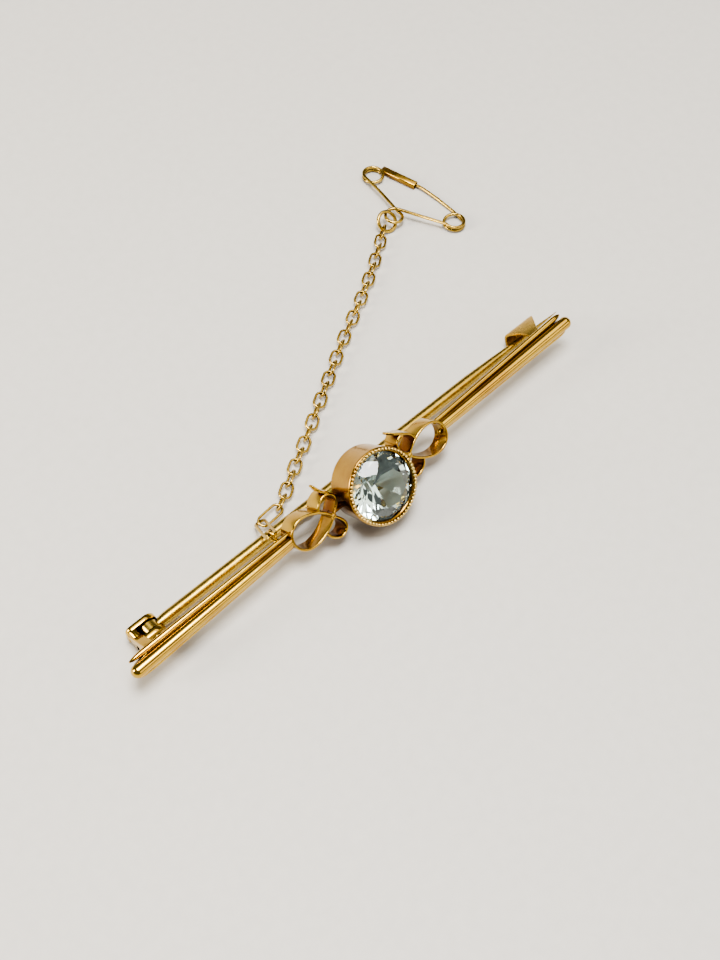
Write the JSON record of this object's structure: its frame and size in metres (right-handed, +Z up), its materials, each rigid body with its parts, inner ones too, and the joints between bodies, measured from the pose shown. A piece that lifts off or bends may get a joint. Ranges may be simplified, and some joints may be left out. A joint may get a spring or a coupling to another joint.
{
  "type": "bar brooch",
  "caption": "Bar brooch with reeded arms, ribbon bows and a round collet-set stone, a hinged pin, a hook catch and a safety chain with its small pin.",
  "frame": {"origin": "middle of the whole part's outline, on the surface that it rests on", "axes": "+X along the bar from the hinge to the catch, +Y from the bar toward the safety pin, +Z up from the surface"},
  "size_m": [0.06, 0.0356, 0.0077],
  "materials": {
    "gold": "polished 9 carat gold",
    "gold_stem": "polished gold wire",
    "gold_chain": "polished gold wire links",
    "stone": "faceted pale blue stone"
  },
  "bodies": {
    "brooch": {"brooch_frame": "gold", "stone": "stone", "hinge_rivet": "gold", "safety_chain": "gold_chain", "jump_ring": "gold_chain", "safety_pin": "gold_stem"},
    "pin": {"pin_stem": "gold_stem"}
  },
  "joints": [
    {"name": "pin_hinge", "type": "hinge", "parent": "brooch", "child": "pin", "pos_m": [-0.0258, -0.01066, 0.00111], "axis": [0, 1, 0], "range_deg": [0, 70]}
  ]
}
